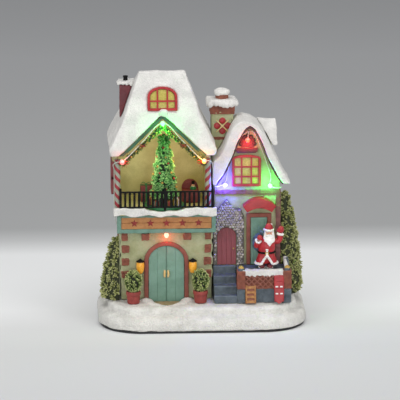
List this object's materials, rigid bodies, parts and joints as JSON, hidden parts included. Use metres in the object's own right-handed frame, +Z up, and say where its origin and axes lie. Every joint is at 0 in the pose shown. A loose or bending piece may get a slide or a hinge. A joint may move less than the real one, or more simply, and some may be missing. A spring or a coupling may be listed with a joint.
{
  "type": "lit christmas village house",
  "caption": "Lit tabletop village house: toy shop with an open upper room and a turning tree, joined to a cottage with a porch, on a snowy base with a battery bay.",
  "frame": {"origin": "middle of the base's underside, on the surface it stands on", "axes": "+Z up, -Y towards the front that the picture shows, +X to the viewer's right"},
  "size_m": [0.208, 0.135, 0.255],
  "materials": {
    "snow": "sparkling white textured paint on cast resin",
    "sage_wall": "matt sage green paint on cast resin",
    "brick": "matt brick brown paint on cast resin",
    "teal": "satin grey green paint on cast resin",
    "lantern_amber": "glossy amber paint",
    "foliage": "matt olive green paint with gold dry brushing",
    "oak": "satin wood coloured paint on cast resin",
    "led_red": "clear red LED",
    "black_metal": "satin black paint",
    "black_plastic": "fine texture",
    "cell_steel": "plated cell case",
    "circuit_green": "solder mask",
    "platter_green": "satin green plastic",
    "pine": "matt pine green paint with gold specks",
    "cream_wall": "matt cream paint on cast resin",
    "candy": "satin red and white stripes",
    "dark_red": "satin dark red paint",
    "bright_red": "satin bright red paint",
    "lit_pane": "translucent amber pane",
    "white_wire": "white insulation with coloured LEDs",
    "pebble": "matt painted pebbles",
    "slate": "matt slate blue paint"
  },
  "bodies": {
    "house": {"snow_base": "snow", "base_plate": "black_plastic", "shop_ground_walls": "sage_wall", "door_surround": "brick", "double_door": "teal", "doorstep": "brick", "lantern_left": "lantern_amber", "lantern_right": "lantern_amber", "potted_bush_left": "foliage", "potted_bush_right": "foliage", "sign_frame": "teal", "sign_board": "oak", "sign_light": "led_red", "balcony_floor": "sage_wall", "balcony_snow": "snow", "balcony_railing": "black_metal", "gear_motor": "black_plastic", "battery_box": "black_plastic", "battery_1": "cell_steel", "battery_2": "cell_steel", "battery_3": "cell_steel", "switch_board": "circuit_green", "toy_room": "cream_wall", "striped_post_left": "candy", "striped_post_right": "candy", "gift_box": "dark_red", "toy_chest": "dark_red", "shop_roof": "snow", "gable_trim": "teal", "gable_garland": "pine", "roof_window_frame": "bright_red", "roof_window_panes": "lit_pane", "shop_chimney": "dark_red", "shop_chimney_snow": "snow", "led_string_shop": "white_wire", "cottage_walls": "sage_wall", "cottage_gable_roof": "snow", "cottage_rear_roof": "snow", "gable_window_frame": "bright_red", "gable_window_panes": "lit_pane", "stone_arch": "pebble", "red_door": "dark_red", "teal_door": "teal", "teal_door_frame": "brick", "door_awning": "bright_red", "cottage_chimney": "sage_wall", "cottage_chimney_snow": "snow", "porch_stairs": "slate", "porch_block": "slate", "porch_snow": "snow", "wooden_sled": "oak", "red_sled": "bright_red", "santa_figure": "bright_red", "led_string_cottage": "white_wire", "fir_left": "foliage", "fir_right": "foliage"},
    "turntable": {"tree_platter": "platter_green", "indoor_tree": "pine"},
    "bay_door": {"battery_door": "black_plastic"},
    "switch": {"switch_knob": "black_plastic"}
  },
  "joints": [
    {"name": "tree_turn", "type": "hinge", "parent": "house", "child": "turntable", "pos_m": [-0.0375, -0.012, 0.1163], "axis": [0, 0, 1], "continuous": true},
    {"name": "battery_door_hinge", "type": "hinge", "parent": "house", "child": "bay_door", "pos_m": [-0.043, 0.047, 0.0888], "axis": [1, 0, 0], "range_deg": [0, 100]},
    {"name": "switch_slide", "type": "slide", "parent": "house", "child": "switch", "axis": [1, 0, 0], "range_m": [0, 0.004]}
  ]
}
